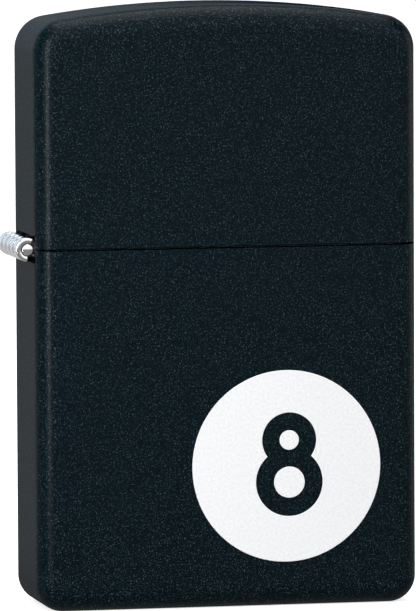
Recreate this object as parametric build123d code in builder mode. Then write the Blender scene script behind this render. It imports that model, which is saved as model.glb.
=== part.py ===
from build123d import *
import math
import os

# Flip-top windproof pocket lighter, lid closed.
# Millimetres. Origin at the centre of the flat base, +Z up, front towards -Y,
# hinge towards -X.

# ---- whole body -------------------------------------------------------------
body_width = 36.7
body_depth = 12.7
body_height = 57.0
split_share = 0.6
shell_wall = 0.65
seam_gap = 0.08
edge_radius = 2.1
bottom_corner_radius = 2.6
top_corner_radius = 3.2
dome_radius = 100.0
lip_radius = 0.22

# ---- hinge ------------------------------------------------------------------
pin_radius = 0.55
pin_clearance = 0.07
hinge_strip = 0.5
hinge_length = 9.4
hinge_offset = 0.55
knuckle_count = 5
knuckle_gap = 0.12
roll_end_angle = 62.0
notch_clearance = 0.18
stake_length = 0.55
stake_inset = 0.45
leaf_width = 8.3
leaf_length = 6.4

# ---- printed disc -----------------------------------------------------------
print_thickness = 0.12
disc_radius = 9.08
disc_x = 5.45
disc_z = 13.4
figure_x = 0.27
upper_ring_radius = 2.61
upper_ring_rise = 2.45
upper_dot_radius = 0.93
lower_ring_radius = 3.22
lower_ring_drop = 1.54
lower_dot_radius = 1.48

# ---- insert -----------------------------------------------------------------
insert_side_gap = 0.2
insert_face_gap = 0.15
insert_floor_gap = 0.05
insert_rise = 1.0
can_sheet = 0.4
plate_sheet = 0.4
can_corner_slack = 0.05
can_lip = 1.8

# ---- windscreen -------------------------------------------------------------
screen_sheet = 0.5
screen_length = 13.9
screen_rivet_gap = 0.6
screen_depth = 7.8
screen_rise = 16.5
screen_corner_radius = 3.0
hole_radius = 1.05
hole_column_pitch = 3.0
hole_row_pitch = 3.5
hole_shift = 0.35
hole_centre_rise = 9.5

# ---- flint wheel ------------------------------------------------------------
wheel_screen_gap = 0.5
wheel_rise = 6.6
wheel_radius = 3.3
wheel_side_gap = 0.3
striking_band = 3.4
striking_teeth = 44
grip_teeth = 26
tooth_depth = 0.22
grip_depth = 0.32
grip_drop = 0.12
axle_radius = 0.9
axle_clearance = 0.05
axle_head_radius = 1.35
rivet_head = 0.35
wheel_ear_radius = 1.9

# ---- flint, its tube, spring and screw --------------------------------------
tube_outer_radius = 1.7
tube_inner_radius = 1.3
tube_collar_radius = 2.2
tube_collar = 0.4
tube_wheel_gap = 0.4
flint_radius = 1.2
flint_length = 5.0
flint_wheel_gap = 0.08
tip_radius = 1.15
tip_height = 1.2
stem_radius = 0.6
stem_height = 1.2
spring_coil_radius = 0.95
spring_wire_radius = 0.18
spring_turns = 16
screw_top = 8.0
screw_shank_radius = 1.25
screw_head_radius = 2.3
screw_head = 1.0
screw_head_lift = 0.1
screw_tube_gap = 0.05
screw_slot = 0.6
screw_grooves = 9
screw_groove_depth = 0.16

# ---- cam --------------------------------------------------------------------
cam_leaf_gap = 0.35
cam_rise = 3.6
cam_thickness = 2.0
cam_hub_radius = 1.45
cam_flat = 1.3
cam_nose_reach = 4.3
cam_nose_radius = 0.7
cam_nose_angle = 145.0
cam_swing = 35.0
cam_side_gap = 0.1
cam_ear_sheet = 0.5
cam_ear_half_base = 2.03
cam_rivet_radius = 0.6
cam_rivet_head_radius = 0.96
cam_rivet_clearance = 0.05
leaf_spring_sheet = 0.3
leaf_spring_gap = 0.07
leaf_spring_width = 1.7
leaf_spring_rivet_gap = 0.1
leaf_spring_bend_gap = 0.12
leaf_spring_rivet_radius = 0.45
leaf_spring_rivet_head = 0.77

# ---- soft inside ------------------------------------------------------------
wick_shift = 0.05
wick_radius = 1.6
wick_rise = 8.0
wick_foot = 5.0
wire_radius = 0.1
pad_thickness = 1.8
pad_hole_gap = 0.3
wad_gap = 0.15
wad_round = 3.0
wad_round_share = 0.45
left_wads = 3
right_wads = 2

# ---- places that follow from the sizes --------------------------------------
half_width = body_width / 2
half_depth = body_depth / 2
split_height = split_share * body_height
hinge_x = -half_width - hinge_offset
barrel_radius = pin_radius + pin_clearance + hinge_strip
knuckle_bore = pin_radius + pin_clearance
notch_height = barrel_radius + notch_clearance
knuckle_length = (hinge_length - (knuckle_count - 1) * knuckle_gap) / knuckle_count
knuckle_pitch = knuckle_length + knuckle_gap
leaf_face_x = -half_width + shell_wall

can_left = leaf_face_x + hinge_strip + insert_side_gap
can_right = half_width - shell_wall - insert_side_gap
can_x = (can_left + can_right) / 2
can_half_width = (can_right - can_left) / 2
can_half_depth = half_depth - shell_wall - insert_face_gap
can_floor = shell_wall + insert_floor_gap
can_top = split_height + insert_rise
can_corner_radius = bottom_corner_radius - shell_wall + can_corner_slack
can_edge_radius = edge_radius - shell_wall + can_corner_slack
deck = can_top

cam_arm = cam_nose_reach - cam_nose_radius
cam_nose_left = cam_nose_radius - cam_arm * math.cos(math.radians(cam_nose_angle))
cam_x = leaf_face_x + hinge_strip + cam_leaf_gap + cam_nose_left
leaf_spring_rivet_x = cam_x + cam_hub_radius + leaf_spring_rivet_gap + leaf_spring_rivet_head
screen_left = leaf_spring_rivet_x + leaf_spring_rivet_head + screen_rivet_gap
screen_right = screen_left + screen_length
screen_x = (screen_left + screen_right) / 2
wick_x = screen_x + wick_shift
hole_centre_x = screen_x + hole_shift
wheel_x = screen_right + wheel_screen_gap + wheel_radius

screen_half_depth = screen_depth / 2
wheel_z = split_height + wheel_rise
wheel_half_width = screen_half_depth - screen_sheet - wheel_side_gap
cam_z = split_height + cam_rise
cam_ear_inner = cam_thickness / 2 + cam_side_gap
cam_ear_outer = cam_ear_inner + cam_ear_sheet
screw_head_bottom = can_floor + screw_head_lift
tube_bottom = screw_head_bottom + screw_head + screw_tube_gap
tube_top = wheel_z - wheel_radius - tube_wheel_gap
flint_bottom = wheel_z - wheel_radius - flint_wheel_gap - flint_length
tip_bottom = flint_bottom - tip_height
spring_length = tip_bottom - screw_top
pad_bottom = can_floor + can_sheet
pad_top = pad_bottom + pad_thickness

os.makedirs("parts", exist_ok=True)


def save(part, name):
    part.label = name
    export_step(part, "parts/" + name + ".step")


# ---- shared shapes ----------------------------------------------------------
def tray_block(centre_x, half_w, half_d, floor, top, corner, edge):
    """Block with round lower corners and a rounded front and back outline."""
    with BuildPart() as block:
        with BuildSketch(Plane.XZ):
            with Locations((centre_x, (floor + top) / 2)):
                Rectangle(2 * half_w, top - floor)
            fillet(vertices().group_by(Axis.Y)[0], corner)
        extrude(amount=half_d, both=True)
        outline = [e for e in block.edges() if abs(abs(e.center().Y) - half_d) < 0.001]
        fillet([e for e in outline if e.center().Z < top - 0.001], edge)
    return block.part


def dome_block(inset, bottom):
    """Block of the lid: domed top, every face moved inwards by inset."""
    half_w = half_width - inset
    half_d = half_depth - inset
    crown = body_height - inset
    radius = dome_radius - inset
    shoulder = crown - radius + math.sqrt(radius ** 2 - half_w ** 2)
    with BuildPart() as block:
        with BuildSketch(Plane.XZ):
            with BuildLine():
                Polyline((-half_w, shoulder), (-half_w, bottom), (half_w, bottom), (half_w, shoulder))
                ThreePointArc((half_w, shoulder), (0, crown), (-half_w, shoulder))
            make_face()
            fillet(vertices().group_by(Axis.Y)[-1], top_corner_radius - inset)
        extrude(amount=half_d, both=True)
        outline = [e for e in block.edges() if abs(abs(e.center().Y) - half_d) < 0.001]
        fillet([e for e in outline if e.center().Z > bottom + 0.001], edge_radius - inset)
    return block.part


def hinge_notch():
    """Opening in the left wall of both shells that lets the barrel through."""
    with BuildPart() as notch:
        with Locations((leaf_face_x, 0, split_height)):
            Box(2 * shell_wall + 2 * hinge_offset, hinge_length + 2 * notch_clearance, 2 * notch_height)
    return notch.part


def ear_outline(x, base, height, half_base, head_radius):
    """Flat ear: a trapezium that rises from base to a round head about its bore."""
    Polygon(
        (x - half_base, base),
        (x + half_base, base),
        (x + head_radius, height),
        (x - head_radius, height),
        align=None,
    )
    with Locations((x, height)):
        Circle(head_radius)


# ---- lower shell and lid ----------------------------------------------------
case_outer = tray_block(
    0, half_width, half_depth, 0, split_height - seam_gap / 2, bottom_corner_radius, edge_radius
)
case_hollow = tray_block(
    0,
    half_width - shell_wall,
    half_depth - shell_wall,
    shell_wall,
    body_height,
    bottom_corner_radius - shell_wall,
    edge_radius - shell_wall,
)
lid_outer = dome_block(0, split_height + seam_gap / 2)
lid_hollow = dome_block(shell_wall, 0)
notch_block = hinge_notch()

with BuildPart() as case_bottom:
    add(case_outer)
    fillet(case_bottom.faces().sort_by(Axis.Z)[-1].edges(), lip_radius)
    add(case_hollow, mode=Mode.SUBTRACT)
    add(notch_block, mode=Mode.SUBTRACT)
save(case_bottom.part, "case_bottom")

with BuildPart() as lid_shell:
    add(lid_outer)
    fillet(lid_shell.faces().sort_by(Axis.Z)[0].edges(), lip_radius)
    add(lid_hollow, mode=Mode.SUBTRACT)
    add(notch_block, mode=Mode.SUBTRACT)
save(lid_shell.part, "lid_shell")


# ---- hinge ------------------------------------------------------------------
def knuckle_start(index):
    return -hinge_length / 2 + index * knuckle_pitch


def hinge_plate(side, knuckles):
    """Leaf with rolled knuckles; side is -1 below the pin and +1 above it."""
    reach = leaf_face_x + hinge_strip - hinge_x
    leaf_from = leaf_face_x - hinge_x
    # The wedge of the roll's mouth runs well past the barrel.
    mouth = 4 * barrel_radius
    end_x = mouth * math.cos(math.radians(roll_end_angle))
    end_z = mouth * math.sin(math.radians(roll_end_angle))
    with BuildPart() as plate:
        for index in knuckles:
            far_end = knuckle_start(index) + knuckle_length
            with BuildSketch(Plane.XZ.offset(-far_end)):
                with Locations((hinge_x, split_height)):
                    Circle(barrel_radius)
                    Circle(knuckle_bore, mode=Mode.SUBTRACT)
                with BuildLine():
                    Polyline(
                        (hinge_x, split_height),
                        (hinge_x + end_x, split_height - side * end_z),
                        (hinge_x + mouth, split_height + side * mouth),
                        (hinge_x, split_height + side * mouth),
                        close=True,
                    )
                make_face(mode=Mode.SUBTRACT)
                with Locations(
                    (hinge_x + reach / 2, split_height + side * (barrel_radius - hinge_strip / 2))
                ):
                    Rectangle(reach, hinge_strip)
                foot = notch_height - barrel_radius + hinge_strip
                with Locations(
                    (hinge_x + leaf_from + hinge_strip / 2, split_height + side * (notch_height - foot / 2))
                ):
                    Rectangle(hinge_strip, foot)
            extrude(amount=knuckle_length)
        leaf_middle = split_height + side * (notch_height + leaf_length / 2)
        with Locations((leaf_face_x + hinge_strip / 2, 0, leaf_middle)):
            Box(hinge_strip, leaf_width, leaf_length)
    return plate.part


case_hinge_plate = hinge_plate(-1, range(0, knuckle_count, 2))
save(case_hinge_plate, "case_hinge_plate")

lid_hinge_plate = hinge_plate(1, range(1, knuckle_count, 2))
save(lid_hinge_plate, "lid_hinge_plate")

with BuildPart() as hinge_pin:
    with BuildSketch(Plane.XZ.offset(-hinge_length / 2)):
        with Locations((hinge_x, split_height)):
            Circle(pin_radius)
    extrude(amount=hinge_length)
    # The two ends are staked out so that they grip the outer knuckles.
    for far_end in (stake_inset + stake_length - hinge_length / 2, hinge_length / 2 - stake_inset):
        with BuildSketch(Plane.XZ.offset(-far_end)):
            with Locations((hinge_x, split_height)):
                Circle(knuckle_bore)
        extrude(amount=stake_length)
save(hinge_pin.part, "hinge_pin")


# ---- printed disc -----------------------------------------------------------
def print_plane():
    return Plane.XZ.offset(half_depth)


figure_centre_x = disc_x + figure_x
upper_place = (figure_centre_x, disc_z + upper_ring_rise)
lower_place = (figure_centre_x, disc_z - lower_ring_drop)

with BuildPart() as number_disc:
    with BuildSketch(print_plane()):
        with Locations((disc_x, disc_z)):
            Circle(disc_radius)
        with Locations(upper_place):
            Circle(upper_ring_radius, mode=Mode.SUBTRACT)
        with Locations(lower_place):
            Circle(lower_ring_radius, mode=Mode.SUBTRACT)
    extrude(amount=print_thickness)
save(number_disc.part, "number_disc")

with BuildPart() as number_counter_upper:
    with BuildSketch(print_plane()):
        with Locations(upper_place):
            Circle(upper_dot_radius)
    extrude(amount=print_thickness)
save(number_counter_upper.part, "number_counter_upper")

with BuildPart() as number_counter_lower:
    with BuildSketch(print_plane()):
        with Locations(lower_place):
            Circle(lower_dot_radius)
    extrude(amount=print_thickness)
save(number_counter_lower.part, "number_counter_lower")

# ---- insert can and its top plate -------------------------------------------
can_outer = tray_block(
    can_x, can_half_width, can_half_depth, can_floor, can_top, can_corner_radius, can_edge_radius
)
can_hollow = tray_block(
    can_x,
    can_half_width - can_sheet,
    can_half_depth - can_sheet,
    pad_bottom,
    body_height,
    can_corner_radius - can_sheet,
    can_edge_radius - can_sheet,
)

with BuildPart() as insert_can:
    add(can_outer)
    add(can_hollow, mode=Mode.SUBTRACT)
    with BuildSketch(Plane.XY):
        with Locations((can_x, 0)):
            RectangleRounded(
                2 * (can_half_width - can_corner_radius - can_lip / 2),
                2 * (can_half_depth - can_lip),
                can_lip / 2,
            )
    extrude(amount=pad_bottom + can_sheet, mode=Mode.SUBTRACT)
save(insert_can.part, "insert_can")

with BuildPart() as top_plate:
    with BuildSketch(Plane.XY.offset(deck - plate_sheet)):
        with Locations((can_x, 0)):
            RectangleRounded(
                2 * (can_half_width - can_sheet),
                2 * (can_half_depth - can_sheet),
                can_edge_radius - can_sheet,
            )
        with Locations((wick_x, 0)):
            Circle(wick_radius + 2 * wire_radius, mode=Mode.SUBTRACT)
        with Locations((wheel_x, 0)):
            Circle(tube_outer_radius, mode=Mode.SUBTRACT)
        with Locations((leaf_spring_rivet_x, 0)):
            Circle(leaf_spring_rivet_radius, mode=Mode.SUBTRACT)
    extrude(amount=plate_sheet)
    for far_face in (-cam_ear_inner, cam_ear_outer):
        with BuildSketch(Plane.XZ.offset(-far_face)):
            ear_outline(cam_x, deck - plate_sheet / 2, cam_z, cam_ear_half_base, cam_hub_radius)
            with Locations((cam_x, cam_z)):
                Circle(cam_rivet_radius, mode=Mode.SUBTRACT)
        extrude(amount=cam_ear_sheet)
save(top_plate.part, "top_plate")

# ---- windscreen -------------------------------------------------------------
screen_height = screen_rise - insert_rise


def screen_outline(inset, overrun):
    """Plan of the windscreen, round at the left, moved inwards by inset."""
    left = screen_left + inset
    right = screen_right + overrun
    with Locations(((left + right) / 2, 0)):
        Rectangle(right - left, screen_depth - 2 * inset)
    fillet(vertices().group_by(Axis.X)[0], screen_corner_radius - inset)


def air_holes():
    """Places of the air holes: columns of three, two and three, staggered."""
    places = []
    for column, rows in ((-1, 3), (0, 2), (1, 3)):
        for row in range(rows):
            rise = hole_centre_rise + (row - (rows - 1) / 2) * hole_row_pitch
            places.append((hole_centre_x + column * hole_column_pitch, split_height + rise))
    return places


with BuildPart() as windscreen:
    with BuildSketch(Plane.XY.offset(deck)):
        screen_outline(0, 0)
    extrude(amount=screen_height)
    with BuildSketch(Plane.XY.offset(deck)):
        screen_outline(screen_sheet, screen_sheet)
    extrude(amount=screen_height, mode=Mode.SUBTRACT)
    for far_face in (screen_half_depth, screen_sheet - screen_half_depth):
        with BuildSketch(Plane.XZ.offset(-far_face)):
            with BuildLine():
                Polyline(
                    (screen_right - screen_sheet, deck),
                    (wheel_x + wheel_ear_radius, deck),
                    (wheel_x + wheel_ear_radius, wheel_z),
                    (wheel_x, wheel_z + wheel_ear_radius),
                    (screen_right - screen_sheet, wheel_z + 2 * wheel_ear_radius),
                    close=True,
                )
            make_face()
            with Locations((wheel_x, wheel_z)):
                Circle(wheel_ear_radius)
                Circle(axle_radius, mode=Mode.SUBTRACT)
        extrude(amount=screen_sheet)
    with BuildSketch(Plane.XZ):
        with Locations(*air_holes()):
            Circle(hole_radius)
    extrude(amount=screen_depth, both=True, mode=Mode.SUBTRACT)
save(windscreen.part, "windscreen")


# ---- pins and rivets that lie along Y ---------------------------------------
def cross_pin(x, z, shank_radius, half_length, head_radius, head):
    """Plain pin with a flat head beyond each end."""
    with BuildPart() as pin:
        for far_face, length, radius in (
            (half_length, 2 * half_length, shank_radius),
            (half_length + head, head, head_radius),
            (-half_length, head, head_radius),
        ):
            with BuildSketch(Plane.XZ.offset(-far_face)):
                with Locations((x, z)):
                    Circle(radius)
            extrude(amount=length)
    return pin.part


wheel_axle = cross_pin(wheel_x, wheel_z, axle_radius, screen_half_depth, axle_head_radius, rivet_head)
save(wheel_axle, "wheel_axle")

cam_rivet = cross_pin(cam_x, cam_z, cam_rivet_radius, cam_ear_outer, cam_rivet_head_radius, rivet_head)
save(cam_rivet, "cam_rivet")

# ---- flint wheel ------------------------------------------------------------
grip_radius = wheel_radius - grip_drop
grip_width = wheel_half_width - striking_band / 2
wheel_bands = (
    (wheel_half_width, grip_width, grip_radius, grip_teeth, grip_depth),
    (striking_band / 2, striking_band, wheel_radius, striking_teeth, tooth_depth),
    (-striking_band / 2, grip_width, grip_radius, grip_teeth, grip_depth),
)

with BuildPart() as flint_wheel:
    for far_face, width, radius, teeth, depth in wheel_bands:
        with BuildSketch(Plane.XZ.offset(-far_face)):
            with Locations((wheel_x, wheel_z)):
                Circle(radius)
                Circle(axle_radius + axle_clearance, mode=Mode.SUBTRACT)
                with PolarLocations(radius, teeth):
                    Rectangle(
                        depth * math.sqrt(2), depth * math.sqrt(2), rotation=45, mode=Mode.SUBTRACT
                    )
        extrude(amount=width)
save(flint_wheel.part, "flint_wheel")

# ---- flint tube, flint, tip, spring and screw -------------------------------
with BuildPart() as flint_tube:
    with BuildSketch(Plane.XY.offset(tube_bottom)):
        with Locations((wheel_x, 0)):
            Circle(tube_outer_radius)
            Circle(tube_inner_radius, mode=Mode.SUBTRACT)
    extrude(amount=tube_top - tube_bottom)
    with BuildSketch(Plane.XY.offset(deck)):
        with Locations((wheel_x, 0)):
            Circle(tube_collar_radius)
            Circle(tube_inner_radius, mode=Mode.SUBTRACT)
    extrude(amount=tube_collar)
save(flint_tube.part, "flint_tube")

with BuildPart() as flint:
    with BuildSketch(Plane.XY.offset(flint_bottom)):
        with Locations((wheel_x, 0)):
            Circle(flint_radius)
    extrude(amount=wheel_z - flint_bottom)
    # The striking wheel has worn a hollow of its own curve in the top.
    with BuildSketch(Plane.XZ):
        with Locations((wheel_x, wheel_z)):
            Circle(wheel_radius + flint_wheel_gap)
    extrude(amount=2 * flint_radius, both=True, mode=Mode.SUBTRACT)
save(flint.part, "flint")

with BuildPart() as flint_spring_tip:
    with BuildSketch(Plane.XY.offset(tip_bottom)):
        with Locations((wheel_x, 0)):
            Circle(tip_radius)
    extrude(amount=tip_height)
    with BuildSketch(Plane.XY.offset(tip_bottom)):
        with Locations((wheel_x, 0)):
            Circle(stem_radius)
    extrude(amount=-stem_height)
save(flint_spring_tip.part, "flint_spring_tip")

coil_height = spring_length - 2 * spring_wire_radius
with BuildPart() as flint_spring:
    with BuildLine() as coil:
        Helix(
            pitch=coil_height / spring_turns,
            height=coil_height,
            radius=spring_coil_radius,
            center=(wheel_x, 0, screw_top + spring_wire_radius),
        )
    with BuildSketch(Plane(origin=coil.line @ 0, z_dir=coil.line % 0)):
        Circle(spring_wire_radius)
    sweep(path=coil.line, is_frenet=True)
save(flint_spring.part, "flint_spring")


def screw_outline():
    """Half outline of the flint screw: head, grooved shank, spring seat."""
    shoulder = screw_head_bottom + screw_head
    pitch = (screw_top - shoulder) / (screw_grooves + 1)
    points = [
        (wheel_x, screw_head_bottom),
        (wheel_x + screw_head_radius, screw_head_bottom),
        (wheel_x + screw_head_radius, shoulder),
        (wheel_x + screw_shank_radius, shoulder),
    ]
    for groove in range(screw_grooves):
        start = shoulder + pitch * (groove + 0.5)
        points.append((wheel_x + screw_shank_radius, start))
        points.append((wheel_x + screw_shank_radius - screw_groove_depth, start + pitch / 3))
        points.append((wheel_x + screw_shank_radius, start + pitch * 2 / 3))
    points.append((wheel_x + screw_shank_radius, screw_top))
    points.append((wheel_x + stem_radius, screw_top))
    points.append((wheel_x + stem_radius, screw_top + stem_height))
    points.append((wheel_x, screw_top + stem_height))
    return points


with BuildPart() as flint_screw:
    with BuildSketch(Plane.XZ):
        with BuildLine():
            Polyline(*screw_outline(), close=True)
        make_face()
    revolve(axis=Axis((wheel_x, 0, 0), (0, 0, 1)))
    with Locations((wheel_x, 0, screw_head_bottom)):
        Box(3 * screw_head_radius, screw_slot, screw_head, mode=Mode.SUBTRACT)
save(flint_screw.part, "flint_screw")


# ---- cam and its leaf spring ------------------------------------------------
def on_circle(radius, angle):
    """Point at a radius and an angle in degrees about the cam rivet."""
    turn = math.radians(angle)
    return (cam_x + radius * math.cos(turn), cam_z + radius * math.sin(turn))


with BuildPart() as cam_lever:
    with BuildSketch(Plane.XZ.offset(-cam_thickness / 2)):
        with Locations((cam_x, cam_z)):
            Circle(cam_hub_radius)
        with Locations(on_circle(cam_arm, cam_nose_angle)):
            Circle(cam_nose_radius)
        make_hull()
        # One flat rests on the leaf spring when shut, the other when open.
        for flat_angle in (-90, -90 - cam_swing):
            with Locations(on_circle(cam_flat + cam_hub_radius, flat_angle)):
                Rectangle(
                    2 * cam_hub_radius, 2 * cam_hub_radius, rotation=flat_angle, mode=Mode.SUBTRACT
                )
        with Locations((cam_x, cam_z)):
            Circle(cam_rivet_radius + cam_rivet_clearance, mode=Mode.SUBTRACT)
    extrude(amount=cam_thickness)
save(cam_lever.part, "cam_lever")

spring_foot_z = deck + leaf_spring_sheet / 2
spring_top_z = cam_z - cam_flat - leaf_spring_gap - leaf_spring_sheet / 2
with BuildPart() as cam_spring:
    with BuildSketch(Plane.XZ.offset(-leaf_spring_width / 2)):
        with BuildLine():
            FilletPolyline(
                (leaf_spring_rivet_x + leaf_spring_rivet_head, spring_foot_z),
                (leaf_spring_rivet_x - leaf_spring_rivet_head - leaf_spring_bend_gap, spring_foot_z),
                (cam_x + cam_hub_radius / 4, spring_top_z),
                (cam_x - cam_hub_radius, spring_top_z),
                radius=leaf_spring_sheet,
            )
        trace(line_width=leaf_spring_sheet)
    extrude(amount=leaf_spring_width)
    with BuildSketch(Plane.XY.offset(deck)):
        with Locations((leaf_spring_rivet_x, 0)):
            Circle(leaf_spring_rivet_radius)
    extrude(amount=2 * leaf_spring_sheet, mode=Mode.SUBTRACT)
save(cam_spring.part, "cam_spring")

with BuildPart() as spring_rivet:
    for base, height, radius in (
        (deck - plate_sheet - rivet_head, rivet_head, leaf_spring_rivet_head),
        (deck - plate_sheet, plate_sheet + leaf_spring_sheet, leaf_spring_rivet_radius),
        (deck + leaf_spring_sheet, rivet_head, leaf_spring_rivet_head),
    ):
        with BuildSketch(Plane.XY.offset(base)):
            with Locations((leaf_spring_rivet_x, 0)):
                Circle(radius)
        extrude(amount=height)
save(spring_rivet.part, "spring_rivet")

# ---- wick and its wires -----------------------------------------------------
wick_top = split_height + wick_rise
with BuildPart() as wick:
    with BuildSketch(Plane.XY.offset(wick_foot)):
        with Locations((wick_x, 0)):
            Circle(wick_radius)
    extrude(amount=wick_top - wick_foot)
save(wick.part, "wick")

with BuildPart() as wick_wires:
    with BuildSketch(Plane.XY.offset(wick_foot)):
        with Locations((wick_x, 0)):
            with PolarLocations(wick_radius + wire_radius, 4, start_angle=45):
                Circle(wire_radius)
    extrude(amount=wick_top - wick_foot - wick_radius)
    # A wire band at each end ties the four wires round the wick.
    for band_base in (wick_foot + wick_radius, wick_top - 2 * wick_radius):
        with BuildSketch(Plane.XY.offset(band_base)):
            with Locations((wick_x, 0)):
                Circle(wick_radius + 2 * wire_radius)
                Circle(wick_radius, mode=Mode.SUBTRACT)
        extrude(amount=2 * wire_radius)
save(wick_wires.part, "wick_wires")


# ---- packing and felt -------------------------------------------------------
def wad_column(left, right, count, first_number):
    """Stack of packing wads that fills the can between two x positions."""
    floor = pad_top
    pitch = (deck - plate_sheet - rivet_head - floor) / count
    half_d = can_half_depth - can_sheet
    for number in range(count):
        with BuildPart() as wad:
            with Locations(((left + right) / 2, 0, floor + pitch * (number + 0.5))):
                Box(right - left, 2 * half_d, pitch - wad_gap)
            fillet(wad.edges(), min(wad_round, wad_round_share * min(right - left, pitch)))
        save(wad.part, "packing_wad_" + str(first_number + number))


wick_reach = wick_radius + 2 * wire_radius + wad_gap
tube_reach = tube_outer_radius + wad_gap
wad_column(can_left + can_sheet, wick_x - wick_reach, left_wads, 1)
wad_column(wick_x + wick_reach, wheel_x - tube_reach, right_wads, left_wads + 1)

with BuildPart() as felt_pad:
    add(can_hollow)
    split(bisect_by=Plane.XY.offset(pad_top), keep=Keep.BOTTOM)
    with BuildSketch(Plane.XY):
        with Locations((wheel_x, 0)):
            Circle(screw_head_radius + pad_hole_gap)
    extrude(amount=body_height, mode=Mode.SUBTRACT)
save(felt_pad.part, "felt_pad")
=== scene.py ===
# %% [markdown]
# # A flip-top windproof lighter
#
# The real object is a thin metal box in two halves, joined by a small rolled hinge, with
# a fuel insert standing inside it. Outside there are three finishes only: black powder
# coat on the two shells, bright plating on the hinge, and a raised white print. Under the
# lid there is bright sheet steel, a dark striking wheel, brass and a braided wick.
#
# The engineering model is loaded first. It says where everything is. Each piece is then
# modelled again with real edges, or keeps its shape and gets its finish.

# %% Load the engineering model
import math

import bmesh
import bpy
from mathutils import Matrix, Vector


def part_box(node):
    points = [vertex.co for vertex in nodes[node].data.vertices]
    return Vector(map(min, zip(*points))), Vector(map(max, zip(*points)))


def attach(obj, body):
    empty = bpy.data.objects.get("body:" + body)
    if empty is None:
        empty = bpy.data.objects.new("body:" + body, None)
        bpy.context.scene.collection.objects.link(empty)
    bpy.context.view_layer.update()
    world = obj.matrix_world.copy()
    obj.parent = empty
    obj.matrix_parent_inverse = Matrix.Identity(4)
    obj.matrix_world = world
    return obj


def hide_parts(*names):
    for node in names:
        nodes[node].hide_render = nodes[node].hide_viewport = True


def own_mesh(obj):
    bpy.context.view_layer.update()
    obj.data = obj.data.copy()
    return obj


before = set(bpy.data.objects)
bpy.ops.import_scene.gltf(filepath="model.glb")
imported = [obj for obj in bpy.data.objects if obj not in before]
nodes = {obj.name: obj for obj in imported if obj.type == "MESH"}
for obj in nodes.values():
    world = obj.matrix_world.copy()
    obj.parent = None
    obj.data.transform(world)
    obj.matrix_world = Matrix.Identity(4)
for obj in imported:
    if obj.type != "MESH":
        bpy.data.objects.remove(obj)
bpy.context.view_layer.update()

MM = 0.001

# %% [markdown]
# ## Sizes read from the model
#
# A piece that is modelled again has to land on the same faces as the part it stands for.
# So the outer sizes are read from the loaded parts, and only what the boxes can't say,
# such as a corner's radius, is written here in millimetres.

# %% Sizes
case_low, case_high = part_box("case_bottom")
lid_low, lid_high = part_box("lid_shell")
HALF_WIDTH = case_high.x
HALF_DEPTH = case_high.y
BASE = case_low.z
CASE_RIM = case_high.z
LID_RIM = lid_low.z
CROWN = lid_high.z
SPLIT = (CASE_RIM + LID_RIM) / 2
SEAM = 0.03 * MM
WALL = 0.65 * MM
EDGE_RADIUS = 2.1 * MM
BOTTOM_CORNER = 2.6 * MM
TOP_CORNER = 3.2 * MM
DOME_RADIUS = 100 * MM
LIP_RADIUS = 0.16 * MM
HINGE_X = -18.9 * MM
HINGE_HALF = 4.7 * MM
BARREL = 1.12 * MM
BORE = 0.62 * MM
NOTCH_GAP = 0.18 * MM
KNUCKLE = 1.784 * MM
KNUCKLE_PITCH = 1.904 * MM
LEAF_X = -17.7 * MM
LEAF_WIDTH = 8.3 * MM
LEAF_LENGTH = 6.4 * MM
print("half width %.2f mm, split at %.2f mm" % (HALF_WIDTH / MM, SPLIT / MM))

# %% [markdown]
# ## Small helpers
#
# Colours are easier to think of as the hex codes a screen shows, but shaders work in
# linear light, so one function turns one into the other. A second adds a node with its
# settings and its links, because every finish below is a short chain of such nodes.


# %% Colour and node helpers
def linear(hex_code):
    """A screen colour such as "#1c2a30" as linear red, green, blue and alpha."""
    values = [int(hex_code[i : i + 2], 16) / 255 for i in (1, 3, 5)]
    curve = [v / 12.92 if v <= 0.04045 else ((v + 0.055) / 1.055) ** 2.4 for v in values]
    return (*curve, 1.0)


def socket(node, name):
    """The node's input of that name or number; of two alike, the one in use."""
    if isinstance(name, int):
        return node.inputs[name]
    return next(s for s in node.inputs if s.name == name and s.enabled)


def add(material, kind, settings=None, links=None):
    """A node of that kind, with its settings, its input values and its links."""
    tree = material.node_tree
    node = tree.nodes.new(kind)
    for name, value in (settings or {}).items():
        if isinstance(name, int) or name in node.inputs:
            socket(node, name).default_value = value
        else:
            setattr(node, name, value)
    for name, source in (links or {}).items():
        tree.links.new(source, socket(node, name))
    return node


def new_material(name):
    """An empty node material with only its output."""
    material = bpy.data.materials.new(name)
    material.use_nodes = True
    material.node_tree.nodes.clear()
    return material


def finish_surface(material, settings, links=None):
    """Closes a material with the one shader that most finishes here end in."""
    shader = add(material, "ShaderNodeBsdfPrincipled", settings, links)
    output = add(material, "ShaderNodeOutputMaterial")
    material.node_tree.links.new(shader.outputs["BSDF"], output.inputs["Surface"])
    return shader


def per_metre(size_mm):
    """The scale that gives a pattern one feature every size_mm."""
    return 1 / (size_mm * MM)


# %% [markdown]
# ## Black powder coat
#
# Powder coat is dry plastic powder that is sprayed on and melted in an oven. It never
# flows out quite flat, so it keeps a fine pebble that breaks up every reflection, and
# small grains that catch the light one at a time. It could be a plain dark grey, but then
# the shells would look like moulded plastic. Here a pebble about 0.2 mm wide drives the
# bump, and a second, finer pattern lifts single grains towards blue grey.


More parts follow.
